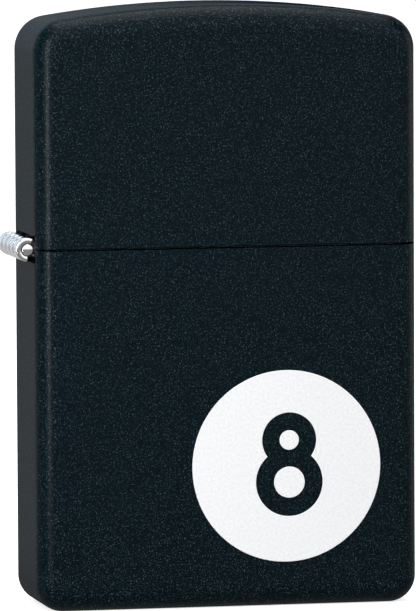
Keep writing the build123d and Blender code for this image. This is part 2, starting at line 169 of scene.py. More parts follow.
# %% Powder coat material
def powder_coat():
    material = new_material("black_powder_coat")
    place = add(material, "ShaderNodeTexCoord")
    pebble = add(
        material,
        "ShaderNodeTexNoise",
        {"Scale": per_metre(0.22), "Detail": 2.0, "Roughness": 0.55},
        {"Vector": place.outputs["Object"]},
    )
    grain = add(
        material,
        "ShaderNodeTexNoise",
        {"Scale": per_metre(0.13), "Detail": 1.0, "Roughness": 0.6},
        {"Vector": place.outputs["Object"]},
    )
    grain_colour = add(
        material,
        "ShaderNodeValToRGB",
        {},
        {"Fac": grain.outputs["Fac"]},
    )
    ramp = grain_colour.color_ramp
    ramp.elements[0].position = 0.40
    ramp.elements[0].color = linear("#000a10")
    ramp.elements[1].position = 0.60
    ramp.elements[1].color = linear("#06171e")
    spark = ramp.elements.new(0.73)
    spark.color = linear("#3f5056")
    bump = add(
        material,
        "ShaderNodeBump",
        {"Strength": 0.35, "Distance": 0.02 * MM},
        {"Height": pebble.outputs["Fac"]},
    )
    slant = add(material, "ShaderNodeLayerWeight", {"Blend": 0.5}, {"Normal": bump.outputs["Normal"]})
    gloss = add(material, "ShaderNodeValToRGB", {}, {"Fac": slant.outputs["Facing"]})
    fall = gloss.color_ramp
    fall.elements[0].position = 0.5
    fall.elements[0].color = (0.10, 0.10, 0.10, 1)
    fall.elements[1].position = 0.96
    fall.elements[1].color = (0, 0, 0, 1)
    fall.elements.new(0.79).color = (0.009, 0.009, 0.009, 1)
    # Painted shade: within about 0.1 mm of the split, the coat is drawn black with its reflection turned
    # off. This is a dark line where the shade in the seam falls.
    height = add(material, "ShaderNodeSeparateXYZ", {}, {"Vector": place.outputs["Object"]})
    from_split = add(
        material, "ShaderNodeMath", {"operation": "SUBTRACT", 1: SPLIT}, {"Value": height.outputs["Z"]}
    )
    away = add(material, "ShaderNodeMath", {"operation": "ABSOLUTE"}, {"Value": from_split.outputs["Value"]})
    seam_shade_fade = add(
        material,
        "ShaderNodeMapRange",
        {"From Min": 0.07 * MM, "From Max": 0.13 * MM},
        {"Value": away.outputs["Value"]},
    )
    colour = add(
        material,
        "ShaderNodeMix",
        {"data_type": "RGBA", "A": (0, 0, 0, 1)},
        {"Factor": seam_shade_fade.outputs["Result"], "B": grain_colour.outputs["Color"]},
    )
    shine = add(
        material,
        "ShaderNodeMath",
        {"operation": "MULTIPLY"},
        {0: seam_shade_fade.outputs["Result"], 1: gloss.outputs["Color"]},
    )
    finish_surface(
        material,
        {"Roughness": 0.3, "IOR": 1.45},
        {
            "Base Color": colour.outputs["Result"],
            "Specular IOR Level": shine.outputs["Value"],
            "Normal": bump.outputs["Normal"],
        },
    )
    return material


POWDER = powder_coat()


# %% [markdown]
# ## White print
#
# The disc is a thick white ink, printed on the coat and left matte. The coat's pebble
# still shows through it, softened. So it is nearly pure white with a faint bump.


# %% White print material
def white_print():
    material = new_material("matte_white_ink")
    place = add(material, "ShaderNodeTexCoord")
    pebble = add(
        material,
        "ShaderNodeTexNoise",
        {"Scale": per_metre(0.24), "Detail": 2.0, "Roughness": 0.5},
        {"Vector": place.outputs["Object"]},
    )
    tone = add(material, "ShaderNodeValToRGB", {}, {"Fac": pebble.outputs["Fac"]})
    tone.color_ramp.elements[0].position = 0.35
    tone.color_ramp.elements[0].color = linear("#eff1f2")
    tone.color_ramp.elements[1].position = 0.65
    tone.color_ramp.elements[1].color = linear("#fafbfd")
    bump = add(
        material,
        "ShaderNodeBump",
        {"Strength": 0.25, "Distance": 0.01 * MM},
        {"Height": pebble.outputs["Fac"]},
    )
    finish_surface(
        material,
        {"Roughness": 0.6, "IOR": 1.48},
        {"Base Color": tone.outputs["Color"], "Normal": bump.outputs["Normal"]},
    )
    return material


INK = white_print()


# %% [markdown]
# ## Metals
#
# All the metals share one recipe: full metallic, a colour, a roughness that a stretched
# or plain noise moves a little, and a slight bump from the same noise. What tells them
# apart to the eye is the colour, how rough they are, and which way the marks run.


# %% Metal materials
def metal(name, colour, roughness, mark_mm=(0.3, 0.3, 0.3), spread=0.08, dent_mm=0.002):
    """A metal whose marks are mark_mm long along X, Y and Z."""
    material = new_material(name)
    place = add(material, "ShaderNodeTexCoord")
    stretch = add(
        material,
        "ShaderNodeMapping",
        {"Scale": tuple(per_metre(size) for size in mark_mm)},
        {"Vector": place.outputs["Object"]},
    )
    marks = add(
        material,
        "ShaderNodeTexNoise",
        {"Scale": 1.0, "Detail": 3.0, "Roughness": 0.6},
        {"Vector": stretch.outputs["Vector"]},
    )
    rough = add(
        material,
        "ShaderNodeMapRange",
        {"To Min": roughness - spread, "To Max": roughness + spread},
        {"Value": marks.outputs["Fac"]},
    )
    bump = add(
        material,
        "ShaderNodeBump",
        {"Strength": 0.4, "Distance": dent_mm * MM},
        {"Height": marks.outputs["Fac"]},
    )
    finish_surface(
        material,
        {"Base Color": linear(colour), "Metallic": 1.0},
        {"Roughness": rough.outputs["Result"], "Normal": bump.outputs["Normal"]},
    )
    return material


CHROME = metal("bright_nickel_chrome", "#e9eaec", 0.12, (0.5, 0.5, 0.5), 0.05, 0.001)
SHEET_STEEL = metal("brushed_stainless_sheet", "#c4c5c6", 0.30, (0.05, 0.05, 2.5), 0.10)
DARK_STEEL = metal("hardened_wheel_steel", "#6c6d70", 0.38, (0.2, 0.2, 0.2), 0.12, 0.004)
SPRING_STEEL = metal("spring_steel", "#8f9196", 0.28, (1.2, 0.06, 0.06), 0.08)
BRASS = metal("turned_brass", "#d8b06a", 0.26, (0.6, 0.6, 0.05), 0.08)
COPPER = metal("bare_copper_wire", "#c9764f", 0.30, (0.1, 0.1, 0.6), 0.08)
FLINT_METAL = metal("ferrocerium_rod", "#6a6661", 0.62, (0.15, 0.15, 0.15), 0.12, 0.008)

# %% [markdown]
# ## Cloth and fibre
#
# Three soft things stand inside the insert: a braided cotton wick, rayon packing and a
# felt pad. Dry fibre has no highlight of its own. It scatters light a little past the
# edge, which is what sheen does, and its fuzz is a bump only a few fibres wide.


# %% Fibre materials
def fibre(name, colour, thread_mm, bump_mm, sheen):
    """A matte fibre whose threads are thread_mm thick."""
    material = new_material(name)
    place = add(material, "ShaderNodeTexCoord")
    fuzz = add(
        material,
        "ShaderNodeTexNoise",
        {"Scale": per_metre(thread_mm), "Detail": 4.0, "Roughness": 0.7},
        {"Vector": place.outputs["Object"]},
    )
    bump = add(
        material,
        "ShaderNodeBump",
        {"Strength": 0.8, "Distance": bump_mm * MM},
        {"Height": fuzz.outputs["Fac"]},
    )
    finish_surface(
        material,
        {"Base Color": linear(colour), "Roughness": 0.95, "Sheen Weight": sheen},
        {"Normal": bump.outputs["Normal"]},
    )
    return material


COTTON = fibre("braided_cotton", "#e6dfcd", 0.12, 0.03, 0.3)
RAYON = fibre("rayon_packing", "#eceae4", 0.35, 0.15, 0.4)
FELT = fibre("grey_wool_felt", "#b9b4aa", 0.25, 0.10, 0.5)
print("materials", len(bpy.data.materials))

# %% [markdown]
# ## How a piece is finished
#
# Every piece ends the same way: its mesh becomes an object, the object rides on a body,
# stands for its engineering part and gets its material. Real edges are never
# perfectly sharp, so a narrow bevel follows, and weighted normals keep the flats flat
# beside it.


# %% Piece helpers
def piece(name, bm, material, body, slot, *stands_for):
    """A named object made from bm, placed on its body."""
    mesh = bpy.data.meshes.new(name)
    bm.to_mesh(mesh)
    bm.free()
    mesh.materials.append(material)
    mesh.shade_smooth()
    obj = bpy.data.objects.new(name, mesh)
    bpy.context.scene.collection.objects.link(obj)
    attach(obj, body)
    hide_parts(*stands_for)
    print(name, len(mesh.polygons), "faces")
    return obj


def soften(obj, width_mm, segments=2, angle=40):
    """A narrow bevel on the hard edges, then normals that keep the flats flat."""
    bevel = obj.modifiers.new("edges", "BEVEL")
    bevel.width = width_mm * MM
    bevel.segments = segments
    bevel.limit_method = "ANGLE"
    bevel.angle_limit = math.radians(angle)
    obj.modifiers.new("flats", "WEIGHTED_NORMAL").weight = 95


def thicken(obj, sheet_mm):
    """Gives a skin its sheet thickness, inwards."""
    sheet = obj.modifiers.new("sheet", "SOLIDIFY")
    sheet.thickness = sheet_mm * MM
    sheet.offset = -1
    sheet.use_even_offset = True


def face_outwards(bm, centre):
    """Turns every face the same way, and away from centre."""
    bmesh.ops.recalc_face_normals(bm, faces=bm.faces)
    lean = sum(f.normal.dot(f.calc_center_median() - centre) * f.calc_area() for f in bm.faces)
    if lean < 0:
        bmesh.ops.reverse_faces(bm, faces=bm.faces)


# %% [markdown]
# ## A line that bends
#
# A pressed box has straight runs joined by round corners. Its outline could be typed in
# as a list of points, but then a corner's radius would be hidden in the numbers. Here a
# point is drawn along instead: it is extruded for a straight run and spun for a corner.


# %% Outline helpers
def run(bm, vert, dx, dz):
    """Extrudes the last point by (dx, 0, dz)."""
    made = bmesh.ops.extrude_vert_indiv(bm, verts=[vert])["verts"]
    bmesh.ops.translate(bm, verts=made, vec=(dx, 0, dz))
    return made[0]


def corner(bm, vert, centre, degrees, steps):
    """Spins the last point about (x, z); positive is clockwise seen from the front."""
    made = bmesh.ops.spin(
        bm,
        geom=[vert],
        cent=(centre[0], vert.co.y, centre[1]),
        axis=(0, 1, 0),
        angle=math.radians(degrees),
        steps=steps,
    )
    return [v for v in made["geom_last"] if isinstance(v, bmesh.types.BMVert)][0]


def pressed_box(bm, start, half_depth, edge_radius):
    """Closes the outline that starts at start, gives it depth, opens its mouth and rounds its rims."""
    mouth = start.co.z
    bmesh.ops.contextual_create(bm, geom=list(bm.verts))
    bmesh.ops.translate(bm, verts=bm.verts, vec=(0, -half_depth, 0))
    grown = bmesh.ops.extrude_face_region(bm, geom=list(bm.faces), use_keep_orig=True)
    moved = [v for v in grown["geom"] if isinstance(v, bmesh.types.BMVert)]
    bmesh.ops.translate(bm, verts=moved, vec=(0, 2 * half_depth, 0))
    lids = [f for f in bm.faces if all(abs(v.co.z - mouth) < 1e-7 for v in f.verts)]
    bmesh.ops.delete(bm, geom=lids, context="FACES_ONLY")
    rims = [
        e
        for e in bm.edges
        if abs(e.verts[0].co.y - e.verts[1].co.y) < 1e-7
        and not all(abs(v.co.z - mouth) < 1e-7 for v in e.verts)
    ]
    bmesh.ops.bevel(
        bm,
        geom=rims,
        offset=edge_radius,
        offset_type="OFFSET",
        segments=10,
        profile=0.5,
        affect="EDGES",
        clamp_overlap=False,
        material=-1,
    )
    face_outwards(bm, Vector((0, 0, sum(v.co.z for v in bm.verts) / len(bm.verts))))


def cut_notch(bm, side):
    """Takes the hinge's opening out of the left wall; side is -1 below the split, 1 above."""
    half_length = HINGE_HALF + NOTCH_GAP
    reach = SPLIT + side * (BARREL + NOTCH_GAP)

    def wall(face):
        return face.calc_center_median().x < -HALF_WIDTH + 2 * WALL

    for spot, normal in (
        ((0, half_length, 0), (0, 1, 0)),
        ((0, -half_length, 0), (0, 1, 0)),
        ((0, 0, reach), (0, 0, 1)),
    ):
        left = [f for f in bm.faces if wall(f)]
        edges = list({e for f in left for e in f.edges})
        verts = list({v for f in left for v in f.verts})
        bmesh.ops.bisect_plane(bm, geom=left + edges + verts, plane_co=spot, plane_no=normal)
    gone = []
    for f in bm.faces:
        middle = f.calc_center_median()
        if wall(f) and abs(middle.y) < half_length and side * (reach - middle.z) > 0:
            gone.append(f)
    bmesh.ops.delete(bm, geom=gone, context="FACES")
    print("notch faces", len(gone))


# %% [markdown]
# ## The lower shell
#
# The real shell is drawn from one sheet of brass 0.65 mm thick, so its wall is even and
# its lower corners are round both ways. It is made as a skin and given its thickness
# afterwards. A solid block with a pocket would also work, but the wall would not follow
# the roundings by itself.

# %% Lower shell
bm = bmesh.new()
start = bmesh.ops.create_vert(bm, co=(-HALF_WIDTH, 0, SPLIT - SEAM))["vert"][0]
tip = run(bm, start, 0, BASE + BOTTOM_CORNER - SPLIT + SEAM)
tip = corner(bm, tip, (-HALF_WIDTH + BOTTOM_CORNER, BASE + BOTTOM_CORNER), -90, 12)
tip = run(bm, tip, 2 * (HALF_WIDTH - BOTTOM_CORNER), 0)
tip = corner(bm, tip, (HALF_WIDTH - BOTTOM_CORNER, BASE + BOTTOM_CORNER), -90, 12)
run(bm, tip, 0, SPLIT - SEAM - BASE - BOTTOM_CORNER)
pressed_box(bm, start, HALF_DEPTH, EDGE_RADIUS)
cut_notch(bm, -1)
lower_shell = piece("lower_shell", bm, POWDER, "case", "powder_coat", "case_bottom")
thicken(lower_shell, WALL / MM)
soften(lower_shell, LIP_RADIUS / MM, 3)

# %% [markdown]
# ## The lid
#
# The lid is the same box turned over, but its top is a shallow dome: an arc about 100 mm
# in radius that runs into the two corners without a crease. The dome is what makes the
# top edge catch a soft line of light along its whole width.

# %% Lid
corner_x = HALF_WIDTH - TOP_CORNER
dome_z = CROWN - DOME_RADIUS
corner_z = dome_z + math.sqrt((DOME_RADIUS - TOP_CORNER) ** 2 - corner_x**2)
dome_half = math.degrees(math.asin(corner_x / (DOME_RADIUS - TOP_CORNER)))
bm = bmesh.new()
start = bmesh.ops.create_vert(bm, co=(-HALF_WIDTH, 0, SPLIT + SEAM))["vert"][0]
tip = run(bm, start, 0, corner_z - SPLIT - SEAM)
tip = corner(bm, tip, (-corner_x, corner_z), 90 - dome_half, 14)
tip = corner(bm, tip, (0, dome_z), 2 * dome_half, 20)
tip = corner(bm, tip, (corner_x, corner_z), 90 - dome_half, 14)
run(bm, tip, 0, SPLIT + SEAM - corner_z)
pressed_box(bm, start, HALF_DEPTH, EDGE_RADIUS)
cut_notch(bm, 1)
lid = piece("lid", bm, POWDER, "lid", "powder_coat", "lid_shell")
thicken(lid, WALL / MM)
soften(lid, LIP_RADIUS / MM, 3)
print("dome spans %.1f degrees" % (2 * dome_half))

# %% [markdown]
# ## The printed disc
#
# The print stands a tenth of a millimetre proud of the coat, and the figure is where
# there is no ink: two overlapping round openings, each with a dot of ink inside. A picture
# would give the same picture but no edge. Here the two arcs of the figure are spun, the
# disc is filled round them, and the ink gets its real thickness.


# %% Disc and dots
def circle(bm, x, z, radius, steps):
    """A ring of edges in the XZ plane."""
    turn = Matrix.Translation((x, 0, z)) @ Matrix.Rotation(math.radians(90), 4, "X")
    bmesh.ops.create_circle(bm, cap_ends=False, radius=radius, segments=steps, matrix=turn)


def ink(name, bm, node):
    """Fills the rings in bm, raises them by the print's thickness and rounds the rim."""
    bmesh.ops.remove_doubles(bm, verts=bm.verts, dist=0.001 * MM)
    bmesh.ops.triangle_fill(bm, use_beauty=True, edges=list(bm.edges))
    bmesh.ops.translate(bm, verts=bm.verts, vec=(0, -HALF_DEPTH, 0))
    grown = bmesh.ops.extrude_face_region(bm, geom=list(bm.faces), use_keep_orig=True)
    moved = [v for v in grown["geom"] if isinstance(v, bmesh.types.BMVert)]
    bmesh.ops.translate(bm, verts=moved, vec=(0, -PRINT, 0))
    bmesh.ops.recalc_face_normals(bm, faces=bm.faces)
    bmesh.ops.dissolve_limit(
        bm, angle_limit=math.radians(0.5), verts=list(bm.verts), edges=list(bm.edges)
    )
    obj = piece(name, bm, INK, "case", "white_print", node)
    soften(obj, 0.04, 2)
    return obj


disc_low, disc_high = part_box("number_disc")
upper_low, upper_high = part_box("number_counter_upper")
lower_low, lower_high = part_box("number_counter_lower")
PRINT = disc_high.y - disc_low.y
DISC = (disc_low + disc_high) / 2
UPPER = (upper_low + upper_high) / 2
LOWER = (lower_low + lower_high) / 2
UPPER_RING = 2.61 * MM
LOWER_RING = 3.22 * MM
gap = UPPER.z - LOWER.z
waist = (gap**2 + UPPER_RING**2 - LOWER_RING**2) / (2 * gap)
upper_half = math.degrees(math.acos(waist / UPPER_RING))
lower_half = math.degrees(math.acos((gap - waist) / LOWER_RING))
waist_x = math.sqrt(UPPER_RING**2 - waist**2)

bm = bmesh.new()
circle(bm, DISC.x, DISC.z, (disc_high.x - disc_low.x) / 2, 128)
start = bmesh.ops.create_vert(bm, co=(UPPER.x + waist_x, 0, UPPER.z - waist))["vert"][0]
tip = corner(bm, start, (UPPER.x, UPPER.z), 2 * upper_half - 360, 48)
corner(bm, tip, (LOWER.x, LOWER.z), 2 * lower_half - 360, 56)
ink("printed_disc", bm, "number_disc")
for name, middle, low, high in (
    ("number_counter_upper", UPPER, upper_low, upper_high),
    ("number_counter_lower", LOWER, lower_low, lower_high),
):
    bm = bmesh.new()
    circle(bm, middle.x, middle.z, (high.x - low.x) / 2, 48)
    ink("printed_dot_" + name.split("_")[-1], bm, name)

# %% [markdown]
# ## The hinge
#
# Each hinge plate is one strip of steel. Its fingers are rolled into knuckles round the
# pin, and the flat leaf is welded inside the shell. A plain tube would do from far away,
# but up close the free end of each roll shows, and so does the tail that leaves it. So
# every knuckle is a strip: a small end face is spun round the pin, drawn out as the tail
# and bent down to the leaf.


# %% Rolled knuckles and leaf
def new_verts(made):
    return [v for v in made if isinstance(v, bmesh.types.BMVert)]


def knuckle(bm, near_y, length):
    """One rolled finger, from its free end to the bend above the leaf."""
    free_end = math.radians(62)
    strip = BARREL - BORE
    size = Matrix.Diagonal((strip, length, 1, 1))
    middle = Matrix.Translation((HINGE_X + (BORE + BARREL) / 2, near_y + length / 2, SPLIT))
    face = bmesh.ops.create_grid(bm, x_segments=1, y_segments=1, size=0.5, matrix=middle @ size)
    verts = face["verts"]
    pin = (HINGE_X, 0, SPLIT)
    bmesh.ops.rotate(bm, verts=verts, cent=pin, matrix=Matrix.Rotation(-free_end, 3, "Y"))
    geom = list({f for v in verts for f in v.link_faces})
    geom += list({e for v in verts for e in v.link_edges}) + verts
    roll = math.radians(270) - free_end
    last = bmesh.ops.spin(bm, geom=geom, cent=pin, axis=(0, 1, 0), angle=-roll, steps=30)["geom_last"]
    bend = 0.15 * MM
    inner = LEAF_X - bend
    for move, turn in (((inner - HINGE_X, 0, 0), 90), ((0, 0, -0.4 * MM), 0)):
        faces = [f for f in last if isinstance(f, bmesh.types.BMFace)]
        grown = bmesh.ops.extrude_face_region(bm, geom=faces)["geom"]
        bmesh.ops.translate(bm, verts=new_verts(grown), vec=move)
        last = grown
        if turn:
            last = bmesh.ops.spin(
                bm,
                geom=grown,
                cent=(inner, 0, SPLIT - BARREL - bend),
                axis=(0, 1, 0),
                angle=math.radians(turn),
                steps=6,
            )["geom_last"]


def hinge_plate(name, body, node, order):
    """A leaf with its knuckles; the lid's is the case's turned over."""
    bm = bmesh.new()
    side = -1 if body == "case" else 1
    for index in order:
        knuckle(bm, -HINGE_HALF + index * KNUCKLE_PITCH, KNUCKLE)
    leaf_middle = SPLIT - BARREL - NOTCH_GAP - LEAF_LENGTH / 2
    size = Matrix.Diagonal((BARREL - BORE, LEAF_WIDTH, LEAF_LENGTH, 1))
    place = Matrix.Translation((LEAF_X + (BARREL - BORE) / 2, 0, leaf_middle))
    bmesh.ops.create_cube(bm, size=1, matrix=place @ size)
    if side == 1:
        bmesh.ops.scale(bm, verts=bm.verts, vec=(1, 1, -1), space=Matrix.Translation((0, 0, -SPLIT)))
    bmesh.ops.remove_doubles(bm, verts=bm.verts, dist=0.001 * MM)
    bmesh.ops.recalc_face_normals(bm, faces=bm.faces)
    obj = piece(name, bm, CHROME, body, "hinge_chrome", node)
    soften(obj, 0.06, 2)
    return obj


# %% Hinge pieces
hinge_plate("hinge_leaf_lower", "case", "case_hinge_plate", (0, 2, 4))
hinge_plate("hinge_leaf_upper", "lid", "lid_hinge_plate", (1, 3))

# %% [markdown]
# ## Turned pieces
#
# Pins, rivets, tubes and screws come off a lathe. The mesh way to say so is a half
# outline spun about its own axis.


# %% Lathe helper and the hinge pin
def turned(bm, outline_mm, centre, axis):
    """Spins (radius, length) points about an axis, which is "Y" or "Z", through centre."""
    verts = []
    for radius, length in outline_mm:
        spot = (radius, length, 0) if axis == "Y" else (radius, 0, length)
        co = Vector(spot) * MM + centre
        verts.append(bmesh.ops.create_vert(bm, co=co)["vert"][0])
    edges = [bm.edges.new(pair) for pair in zip(verts, verts[1:])]
    bmesh.ops.spin(
        bm,
        geom=verts + edges,
        cent=centre,
        axis=(0, 1, 0) if axis == "Y" else (0, 0, 1),
        angle=math.radians(360),
        steps=48,
        use_merge=True,
    )
    bmesh.ops.remove_doubles(bm, verts=bm.verts, dist=0.001 * MM)
    bmesh.ops.recalc_face_normals(bm, faces=bm.faces)


bm = bmesh.new()
pin_outline = [(0, -4.7), (0.49, -4.7), (0.55, -4.64), (0.55, 4.64), (0.49, 4.7), (0, 4.7)]
turned(bm, pin_outline, Vector((HINGE_X, 0, SPLIT)), "Y")
soften(piece("hinge_pin_turned", bm, CHROME, "case", "hinge_chrome", "hinge_pin"), 0.02, 1)

# %% [markdown]
# ## The insert's can
#
# The can is a bent and seamed steel box that slides in the lower shell. It is the same
# kind of box as the shells, so it is made the same way, 0.4 mm thick, with a window in
# its floor for the felt pad and the screw.

# %% Insert can
can_low, can_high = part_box("insert_can")
CAN_CORNER = 2.0 * MM
CAN_EDGE = 1.5 * MM
CAN_LIP = 1.8 * MM
bm = bmesh.new()
start = bmesh.ops.create_vert(bm, co=(can_low.x, 0, can_high.z))["vert"][0]
tip = run(bm, start, 0, can_low.z + CAN_CORNER - can_high.z)
tip = corner(bm, tip, (can_low.x + CAN_CORNER, can_low.z + CAN_CORNER), -90, 8)
tip = run(bm, tip, can_high.x - can_low.x - 2 * CAN_CORNER, 0)
tip = corner(bm, tip, (can_high.x - CAN_CORNER, can_low.z + CAN_CORNER), -90, 8)
run(bm, tip, 0, can_high.z - can_low.z - CAN_CORNER)
pressed_box(bm, start, can_high.y, CAN_EDGE)
window_x = (can_high.x - can_low.x) / 2 - CAN_CORNER - CAN_LIP / 2
window_y = can_high.y - CAN_LIP
can_middle = (can_low.x + can_high.x) / 2
for spot, normal in (
    ((can_middle + window_x, 0, 0), (1, 0, 0)),
    ((can_middle - window_x, 0, 0), (1, 0, 0)),
    ((0, window_y, 0), (0, 1, 0)),
    ((0, -window_y, 0), (0, 1, 0)),
):
    floor_faces = [f for f in bm.faces if f.calc_center_median().z < can_low.z + 0.01 * MM]
    edges = list({e for f in floor_faces for e in f.edges})
    verts = list({v for f in floor_faces for v in f.verts})
    bmesh.ops.bisect_plane(bm, geom=floor_faces + edges + verts, plane_co=spot, plane_no=normal)
gone = []
for f in bm.faces:
    middle = f.calc_center_median()
    inside = abs(middle.x - can_middle) < window_x and abs(middle.y) < window_y
    if inside and middle.z < can_low.z + 0.01 * MM:
        gone.append(f)
bmesh.ops.delete(bm, geom=gone, context="FACES")
can = piece("insert_can_drawn", bm, SHEET_STEEL, "insert", "insert_steel", "insert_can")
thicken(can, 0.4)
soften(can, 0.08, 2)
print("window faces", len(gone))

# %% [markdown]
# ## The windscreen
#
# The windscreen is one strip bent into a U round the wick. The air holes are punched
# before it is bent, and two ears at the open end carry the wheel. So one flat cheek is
# drawn with its ear and its holes, its left edge is bent round by two spins, and the
# second cheek is the first one's mirror image.

# %% Windscreen
screen_low, screen_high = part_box("windscreen")
wheel_low, wheel_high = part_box("flint_wheel")
WHEEL = (wheel_low + wheel_high) / 2
EAR = 1.9 * MM
BEND = 3.0 * MM
SCREEN_RIGHT = WHEEL.x - 3.8 * MM
left = screen_low.x + BEND
deck = screen_low.z
bm = bmesh.new()
start = bmesh.ops.create_vert(bm, co=(left, 0, deck))["vert"][0]
tip = run(bm, start, WHEEL.x + EAR - left, 0)
tip = run(bm, tip, 0, WHEEL.z - deck)
tip = corner(bm, tip, (WHEEL.x, WHEEL.z), -90, 12)
tip = run(bm, tip, SCREEN_RIGHT - WHEEL.x, 1.68 * MM)
tip = run(bm, tip, 0, screen_high.z - tip.co.z)
tip = run(bm, tip, left - SCREEN_RIGHT, 0)
run(bm, tip, 0, deck - screen_high.z)
hole_x = (screen_low.x + SCREEN_RIGHT) / 2 + 0.35 * MM
hole_z = SPLIT + 9.5 * MM
for column, rows in ((-1, 3), (0, 2), (1, 3)):
    for row in range(rows):
        z = hole_z + (row - (rows - 1) / 2) * 3.5 * MM
        circle(bm, hole_x + column * 3.0 * MM, z, 1.05 * MM, 32)
bmesh.ops.remove_doubles(bm, verts=bm.verts, dist=0.001 * MM)
bmesh.ops.triangle_fill(bm, use_beauty=True, edges=list(bm.edges))
bmesh.ops.translate(bm, verts=bm.verts, vec=(0, screen_low.y, 0))
copy = bmesh.ops.duplicate(bm, geom=list(bm.verts) + list(bm.edges) + list(bm.faces))["geom"]
bmesh.ops.scale(bm, verts=new_verts(copy), vec=(1, -1, 1))
bend_line = [
    e
    for e in bm.edges
    if all(abs(v.co.x - left) < 1e-7 and v.co.y < 0 for v in e.verts)
]
geom = bend_line + list({v for e in bend_line for v in e.verts})
for centre_y, straight in ((screen_low.y + BEND, 2 * (screen_high.y - BEND)), (screen_high.y - BEND, 0)):
    geom = bmesh.ops.spin(
        bm, geom=geom, cent=(left, centre_y, 0), axis=(0, 0, 1), angle=math.radians(-90), steps=12
    )["geom_last"]
    if straight:
        grown = bmesh.ops.extrude_edge_only(bm, edges=[e for e in geom if isinstance(e, bmesh.types.BMEdge)])
        geom = grown["geom"]
        bmesh.ops.translate(bm, verts=new_verts(geom), vec=(0, straight, 0))
        geom = [g for g in geom if not isinstance(g, bmesh.types.BMFace)]
bmesh.ops.remove_doubles(bm, verts=bm.verts, dist=0.002 * MM)
face_outwards(bm, Vector((left, 0, (deck + screen_high.z) / 2)))
screen = piece("windscreen_bent", bm, SHEET_STEEL, "insert", "insert_steel", "windscreen")
thicken(screen, 0.5)
soften(screen, 0.07, 2)

# %% [markdown]
# ## Small steel and brass pieces
#
# The plate with its ears, the cam, its leaf spring, the rivets, the wheel, the flint and
# its tube, tip and screw already have the right outlines. What the engineering mesh lacks
# is an edge that catches the light, and it comes as loose triangles. A copy of it is
# merged, its flats are dissolved into single faces, and the hard edges are bevelled.


# %% Merged copies with real edges
def merged_copy(name, node, material, body, slot, edge_mm=0.05):
    bm = bmesh.new()
    bm.from_mesh(nodes[node].data)
    bmesh.ops.remove_doubles(bm, verts=bm.verts, dist=0.0005 * MM)
    bmesh.ops.dissolve_limit(
        bm, angle_limit=math.radians(0.5), verts=list(bm.verts), edges=list(bm.edges)
    )
    obj = piece(name, bm, material, body, slot, node)
    if edge_mm:
        soften(obj, edge_mm, 2, 35)
    else:
        obj.data.set_sharp_from_angle(angle=math.radians(30))
    return obj


merged_copy("deck_plate", "top_plate", SHEET_STEEL, "insert", "insert_steel", 0.04)
merged_copy("cam_blank", "cam_lever", SPRING_STEEL, "cam", "hard_steel", 0.08)
merged_copy("cam_leaf_spring", "cam_spring", SPRING_STEEL, "insert", "spring_steel", 0.04)
merged_copy("cam_rivet_headed", "cam_rivet", SHEET_STEEL, "insert", "hard_steel", 0.1)
merged_copy("spring_rivet_headed", "spring_rivet", SHEET_STEEL, "insert", "hard_steel", 0.1)
merged_copy("wheel_axle_headed", "wheel_axle", DARK_STEEL, "insert", "hard_steel", 0.1)
merged_copy("striking_wheel", "flint_wheel", DARK_STEEL, "flint_wheel", "hard_steel", 0)
merged_copy("flint_tube_drawn", "flint_tube", BRASS, "insert", "brass", 0.08)
merged_copy("flint_rod", "flint", FLINT_METAL, "flint", "flint_metal", 0.1)
merged_copy("flint_tip", "flint_spring_tip", BRASS, "flint", "brass", 0.08)
merged_copy("flint_screw_turned", "flint_screw", BRASS, "flint_screw", "brass", 0.06)

# %% [markdown]
# ## The flint spring
#
# The spring presses the flint against the wheel. A coil is a small circle spun many turns
# while it climbs, so one spin with a step upwards draws it.

# %% Flint spring
spring_low, spring_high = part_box("flint_spring")
WIRE = 0.18 * MM
COIL = 0.95 * MM
TURNS = 16
STEPS = 20 * TURNS
climb = (spring_high.z - spring_low.z - 2 * WIRE) / STEPS
bm = bmesh.new()
upright = Matrix.Rotation(math.radians(90), 4, "X")
turn = Matrix.Translation((WHEEL.x + COIL, 0, spring_low.z + WIRE)) @ upright
ring = bmesh.ops.create_circle(bm, cap_ends=True, radius=WIRE, segments=10, matrix=turn)["verts"]
geom = ring + list({e for v in ring for e in v.link_edges}) + list({f for v in ring for f in v.link_faces})
bmesh.ops.spin(
    bm,
    geom=geom,
    cent=(WHEEL.x, 0, 0),
    axis=(0, 0, 1),
    dvec=(0, 0, climb),
    angle=math.radians(360 * TURNS),
    steps=STEPS,
)
bmesh.ops.recalc_face_normals(bm, faces=bm.faces)
spring = piece("flint_spring_coiled", bm, SPRING_STEEL, "flint_screw", "spring_steel", "flint_spring")
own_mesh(spring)

# %% [markdown]
# ## The wick
#
# The wick is a braid: strands climb to the left and to the right and cross over one
# another, with thin copper wires laid along it. A cylinder with a bump would look like
# a candle. Here each strand is a circle spun up the core, half of them one way and half
# the other, with a round core behind so that no gap shows.

# %% Wick
wick_low, wick_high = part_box("wick")
WICK_X = (wick_low.x + wick_high.x) / 2
WICK = (wick_high.x - wick_low.x) / 2
STRAND = 0.30 * MM
STRANDS = 6
LAY = 7 * MM
rise = wick_high.z - wick_low.z - 2 * STRAND
steps = int(rise / LAY * 28)
bm = bmesh.new()
for way in (-1, 1):
    for number in range(STRANDS):
        turn = (
            Matrix.Translation((WICK_X, 0, wick_low.z + STRAND))
            @ Matrix.Rotation(math.radians(360 * (number + 0.25 * way) / STRANDS), 4, "Z")
            @ Matrix.Translation((WICK - STRAND, 0, 0))
            @ Matrix.Rotation(math.radians(45 * way), 4, "X")
            @ Matrix.Diagonal((1, 1.6, 1, 1))
        )
        ring = bmesh.ops.create_circle(bm, cap_ends=True, radius=STRAND, segments=8, matrix=turn)["verts"]
        geom = ring + list({e for v in ring for e in v.link_edges})
        geom += list({f for v in ring for f in v.link_faces})
        bmesh.ops.spin(
            bm,
            geom=geom,
            cent=(WICK_X, 0, 0),
            axis=(0, 0, 1),
            dvec=(0, 0, rise / steps),
            angle=math.radians(way * 360 * rise / LAY),
            steps=steps,
        )
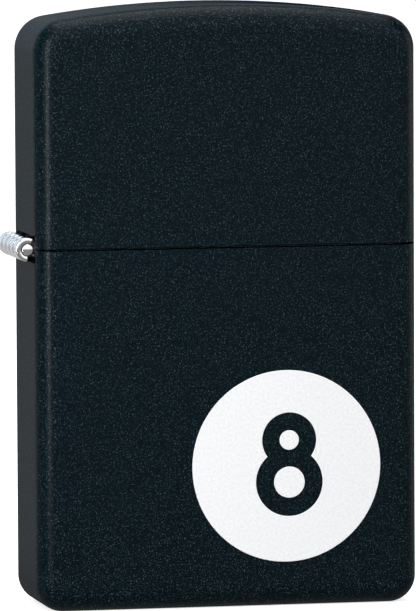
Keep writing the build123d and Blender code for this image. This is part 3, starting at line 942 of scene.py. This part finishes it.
foot, top = wick_low.z / MM, wick_high.z / MM
core = [(0, foot), (1.25, foot), (1.25, top - 0.3), (0.8, top), (0, top)]
bmesh.ops.recalc_face_normals(bm, faces=bm.faces)
turned(bm, core, Vector((WICK_X, 0, 0)), "Z")
piece("braided_wick", bm, COTTON, "insert", "wick_cotton", "wick")
merged_copy("wick_copper_wires", "wick_wires", COPPER, "insert", "copper_wire", 0)

# %% [markdown]
# ## Packing and felt
#
# The packing is loose rayon pushed in by hand, and the pad is cut felt. Neither has a
# crisp edge. Each wad starts as a block with well rounded edges, is divided finely, and its
# skin is then pushed in here and there by a noise a few millimetres wide. The pad is a
# merged copy of its part with a wide bevel.

# %% Soft pieces
from mathutils import noise


def soft_block(name, node, material, slot, round_mm, dent_mm, lump_mm):
    """A padded block that fills a node's box, with dents but no bulges."""
    low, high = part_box(node)
    size = high - low
    bm = bmesh.new()
    place = Matrix.Translation((low + high) / 2) @ Matrix.Diagonal((*size, 1))
    bmesh.ops.create_cube(bm, size=1, matrix=place)
    bmesh.ops.bevel(
        bm, geom=list(bm.edges), offset=round_mm * MM, segments=4, profile=0.5, affect="EDGES", material=-1
    )
    bmesh.ops.subdivide_edges(bm, edges=list(bm.edges), cuts=3, use_grid_fill=True)
    bmesh.ops.triangulate(bm, faces=[f for f in bm.faces if len(f.verts) > 4])
    bm.normal_update()
    middle = (low + high) / 2
    pushes = []
    for v in bm.verts:
        amount = 0.5 + 0.5 * noise.noise(v.co / (lump_mm * MM))
        pushes.append((v, (middle - v.co).normalized() * amount * dent_mm * MM))
    for v, push in pushes:
        v.co += push
    bmesh.ops.smooth_vert(bm, verts=bm.verts, factor=0.4, use_axis_x=True, use_axis_y=True, use_axis_z=True)
    obj = piece(name, bm, material, "insert", slot, node)
    return obj


for number in range(1, 6):
    wad = "packing_wad_%d" % number
    soft_block("rayon_wad_%d" % number, wad, RAYON, "packing_fibre", 1.5, 0.7, 2.2)


# %% Felt pad
bm = bmesh.new()
bm.from_mesh(nodes["felt_pad"].data)
bmesh.ops.remove_doubles(bm, verts=bm.verts, dist=0.0005 * MM)
bmesh.ops.dissolve_limit(bm, angle_limit=math.radians(0.5), verts=list(bm.verts), edges=list(bm.edges))
felt = piece("felt_pad_cut", bm, FELT, "insert", "felt", "felt_pad")
soften(felt, 0.25, 3)

# %% [markdown]
# ## Floor, light and camera
#
# A small black object on white is lit for its edges. The pale room in front gives an even
# light to the print, the dark sides of the room leave the corners black, and the side and
# the top mirror the pale room behind at a shallow angle. A box of light overhead rounds
# the top edge, and one narrow strip draws a thin line down the left edge. The floor and
# the room are plain white to the eye.

# %% Floor
FLOOR_FRONT = 0.25
FLOOR_BACK = 0.6
FLOOR_SHINE = 0.7
bm = bmesh.new()
bmesh.ops.create_grid(bm, x_segments=8, y_segments=8, size=1.5)
floor_mesh = bpy.data.meshes.new("floor")
bm.to_mesh(floor_mesh)
bm.free()
floor = bpy.data.objects.new("floor", floor_mesh)
bpy.context.scene.collection.objects.link(floor)
paper = new_material("white_paper_floor")
spot = add(paper, "ShaderNodeTexCoord")
along = add(paper, "ShaderNodeSeparateXYZ", {}, {"Vector": spot.outputs["Object"]})
fade = add(
    paper,
    "ShaderNodeMapRange",
    {"From Min": -0.02, "From Max": 0.05, "To Min": FLOOR_FRONT, "To Max": FLOOR_BACK},
    {"Value": along.outputs["Y"]},
)
dull = add(paper, "ShaderNodeEmission", {"Color": (1, 1, 1, 1)}, {"Strength": fade.outputs["Result"]})
lit = add(paper, "ShaderNodeEmission", {"Color": (1, 1, 1, 1), "Strength": FLOOR_SHINE})
seen = add(paper, "ShaderNodeBsdfDiffuse", {"Color": (0.9, 0.9, 0.9, 1)})
bright = add(paper, "ShaderNodeAddShader")
paper.node_tree.links.new(seen.outputs["BSDF"], bright.inputs[0])
paper.node_tree.links.new(lit.outputs["Emission"], bright.inputs[1])
path = add(paper, "ShaderNodeLightPath")
choose = add(paper, "ShaderNodeMixShader", {}, {"Fac": path.outputs["Is Camera Ray"]})
paper.node_tree.links.new(dull.outputs["Emission"], choose.inputs[1])
paper.node_tree.links.new(bright.outputs["Shader"], choose.inputs[2])
surface = add(paper, "ShaderNodeOutputMaterial", {}, {"Surface": choose.outputs["Shader"]})
floor_mesh.materials.append(paper)

# %% World
ROOM_FRONT = 1.21
ROOM_SIDE = 0.05
ROOM_BACK = (0.74, 0.84, 0.92, 1)
world = bpy.data.worlds.new("studio")
bpy.context.scene.world = world
world.use_nodes = True
world.node_tree.nodes.clear()
direction = add(world, "ShaderNodeTexCoord")
parts = add(world, "ShaderNodeSeparateXYZ", {}, {"Vector": direction.outputs["Generated"]})
front_to_back = add(
    world, "ShaderNodeMapRange", {"From Min": -1.0, "From Max": 1.0}, {"Value": parts.outputs["Y"]}
)
room = add(world, "ShaderNodeValToRGB", {}, {"Fac": front_to_back.outputs["Result"]})
ramp = room.color_ramp
ramp.interpolation = "EASE"
ramp.elements[0].position = 0.0
ramp.elements[0].color = (ROOM_FRONT,) * 3 + (1,)
ramp.elements[1].position = 1.0
ramp.elements[1].color = ROOM_BACK
ramp.elements.new(0.92).color = ROOM_BACK
for place, level in ((0.22, ROOM_FRONT), (0.42, ROOM_SIDE), (0.78, ROOM_SIDE)):
    ramp.elements.new(place).color = (level,) * 3 + (1,)
path = add(world, "ShaderNodeLightPath")
look = add(
    world,
    "ShaderNodeMix",
    {"data_type": "RGBA", "B": (1, 1, 1, 1)},
    {"Factor": path.outputs["Is Camera Ray"], "A": room.outputs["Color"]},
)
glow = add(world, "ShaderNodeBackground", {"Strength": 1.0}, {"Color": look.outputs["Result"]})
add(world, "ShaderNodeOutputWorld", {}, {"Surface": glow.outputs["Background"]})
bpy.context.scene.view_settings.view_transform = "Standard"


# %% Lamps
def softbox(name, place_mm, aim_mm, width_mm, height_mm, power):
    lamp = bpy.data.lights.new(name, "AREA")
    lamp.shape = "RECTANGLE"
    lamp.size = width_mm * MM
    lamp.size_y = height_mm * MM
    lamp.energy = power
    obj = bpy.data.objects.new(name, lamp)
    bpy.context.scene.collection.objects.link(obj)
    obj.location = Vector(place_mm) * MM
    direction = Vector(aim_mm) * MM - obj.location
    obj.rotation_euler = direction.to_track_quat("-Z", "Y").to_euler()
    obj.visible_camera = False
    return obj


edge_strip = softbox("edge_strip", (-97, -87, 62), (0, 0, 62), 13, 120, 0.10)
top_box = softbox("top_box", (0, 30, 640), (0, 30, 50), 500, 620, 3.1)
right_fill = softbox("right_fill", (600, 60, 100), (0, 0, 30), 400, 400, 0.6)

# %% Camera
CAMERA_TURN = math.radians(-12.0)
CAMERA_RISE = math.radians(4.65)
CAMERA_ROLL = math.radians(-0.29)
CAMERA_DISTANCE = 703 * MM
VIEW_WIDTH = 39.454 * MM
SENSOR = 36
AIM = Vector((0, 0, 28.5)) * MM
SHIFT_ASIDE = -0.664 * MM
SHIFT_UP = -0.3035 * MM

back = Vector(
    (
        math.sin(CAMERA_TURN) * math.cos(CAMERA_RISE),
        -math.cos(CAMERA_TURN) * math.cos(CAMERA_RISE),
        math.sin(CAMERA_RISE),
    )
)
right = Vector((math.cos(CAMERA_TURN), math.sin(CAMERA_TURN), 0))
up = back.cross(right)
tilt = Matrix.Rotation(CAMERA_ROLL, 3, back)
camera_turn = Matrix((tilt @ right, tilt @ up, back)).transposed()
camera_data = bpy.data.cameras.new("camera")
camera_data.sensor_fit = "HORIZONTAL"
camera_data.sensor_width = SENSOR
camera_data.lens = SENSOR * CAMERA_DISTANCE / VIEW_WIDTH
camera_data.clip_start = 0.01
camera_data.clip_end = 50
camera = bpy.data.objects.new("camera", camera_data)
bpy.context.scene.collection.objects.link(camera)
stand = AIM + back * CAMERA_DISTANCE + camera_turn @ Vector((SHIFT_ASIDE, SHIFT_UP, 0))
camera.matrix_world = Matrix.Translation(stand) @ camera_turn.to_4x4()
bpy.context.scene.camera = camera
